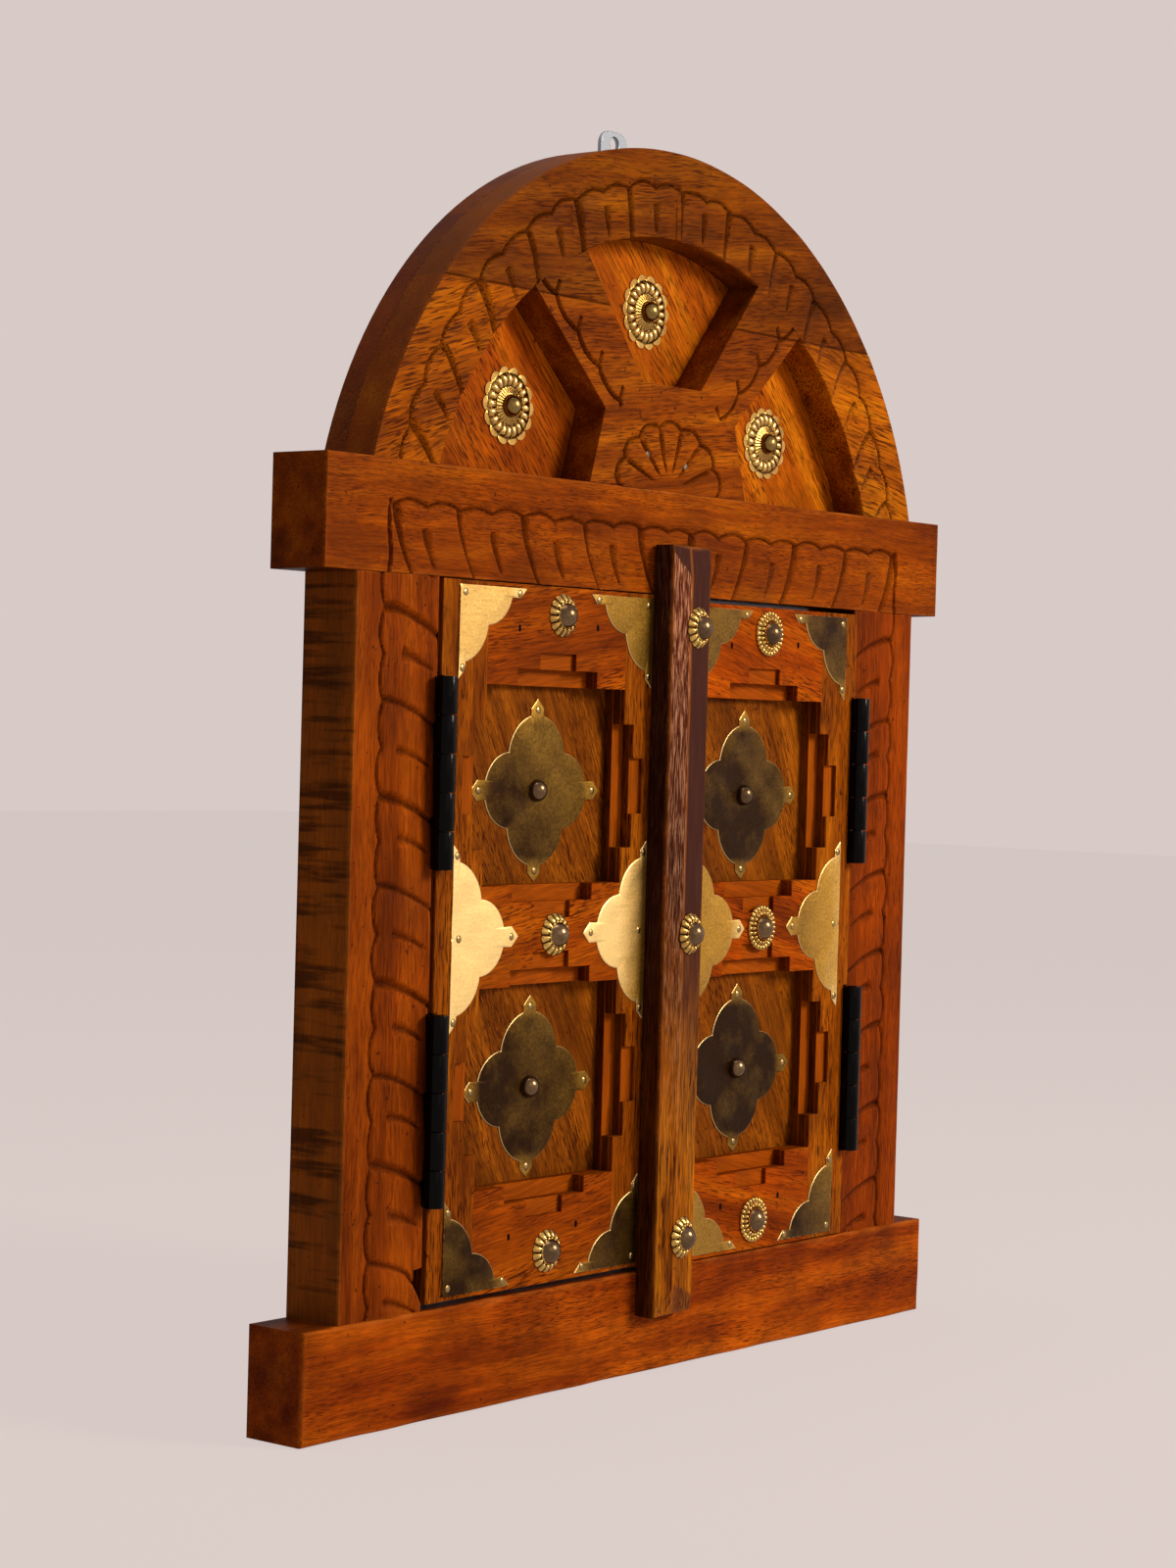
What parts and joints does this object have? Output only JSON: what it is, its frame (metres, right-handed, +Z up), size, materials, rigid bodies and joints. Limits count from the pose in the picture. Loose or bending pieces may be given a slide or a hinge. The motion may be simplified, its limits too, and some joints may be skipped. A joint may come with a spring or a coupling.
{
  "type": "jharokha window",
  "caption": "Arched carved wooden wall window with a fan-shaped top, hinged panelled leaves with brass plates and studs, a cover strip and a hanging tab.",
  "frame": {"origin": "middle of the hanging hole, on the plane of the wall", "axes": "+X to the right seen from the front, +Y into the wall, +Z up"},
  "size_m": [0.422, 0.0441, 0.5222],
  "materials": {
    "polished_wood": "polished honey-brown carved hardwood",
    "panel_wood": "polished browner hardwood boards",
    "rosewood": "polished dark red-brown hardwood",
    "sheet_brass": "worn satin sheet brass",
    "pressed_brass": "bright pressed brass",
    "dark_brass": "dark polished brass",
    "black_enamel": "gloss black paint",
    "zinc_steel": "zinc-plated steel"
  },
  "bodies": {
    "frame": {"sill": "polished_wood", "lintel": "polished_wood", "jamb_left": "polished_wood", "jamb_right": "polished_wood", "arch_back_board": "panel_wood", "arch_crown": "polished_wood", "arch_leg_left": "polished_wood", "arch_leg_right": "polished_wood", "arch_fan_centre": "polished_wood", "arch_rosettes": "pressed_brass", "arch_dome_nails": "dark_brass", "hanger_plate": "zinc_steel", "hanger_screws": "zinc_steel", "hinge_jamb_left": "black_enamel", "hinge_jamb_right": "black_enamel", "hinge_pins_left": "black_enamel", "hinge_pins_right": "black_enamel"},
    "left_leaf": {"left_back_board": "panel_wood", "left_hinge_stile": "polished_wood", "left_meeting_stile": "polished_wood", "left_top_rail": "polished_wood", "left_mid_rail": "polished_wood", "left_bottom_rail": "polished_wood", "left_plate_lower": "sheet_brass", "left_plate_upper": "sheet_brass", "left_half_hinge": "sheet_brass", "left_half_meeting": "sheet_brass", "left_corner_plates": "sheet_brass", "left_cups": "pressed_brass", "left_stud_domes": "dark_brass", "left_dome_nails": "dark_brass", "left_hinge_leaves": "black_enamel"},
    "right_leaf": {"right_back_board": "panel_wood", "right_hinge_stile": "polished_wood", "right_meeting_stile": "polished_wood", "right_top_rail": "polished_wood", "right_mid_rail": "polished_wood", "right_bottom_rail": "polished_wood", "right_plate_lower": "sheet_brass", "right_plate_upper": "sheet_brass", "right_half_hinge": "sheet_brass", "right_half_meeting": "sheet_brass", "right_corner_plates": "sheet_brass", "right_bead_rosettes": "pressed_brass", "right_stud_domes": "dark_brass", "right_dome_nails": "dark_brass", "right_hinge_leaves": "black_enamel", "cover_strip": "rosewood", "strip_cups": "pressed_brass", "strip_domes": "dark_brass"}
  },
  "joints": [
    {"name": "right_leaf_hinge", "type": "hinge", "parent": "frame", "child": "right_leaf", "pos_m": [0.15435, -0.0315, -0.33198], "axis": [0, 0, 1], "range_deg": [0, 175]},
    {"name": "left_leaf_hinge", "type": "hinge", "parent": "frame", "child": "left_leaf", "pos_m": [-0.13235, -0.0315, -0.33198], "axis": [0, 0, -1], "range_deg": [0, 175]}
  ],
  "couplings": [
    {"joint": "left_leaf_hinge", "follows": "right_leaf_hinge", "ratio": 1}
  ]
}
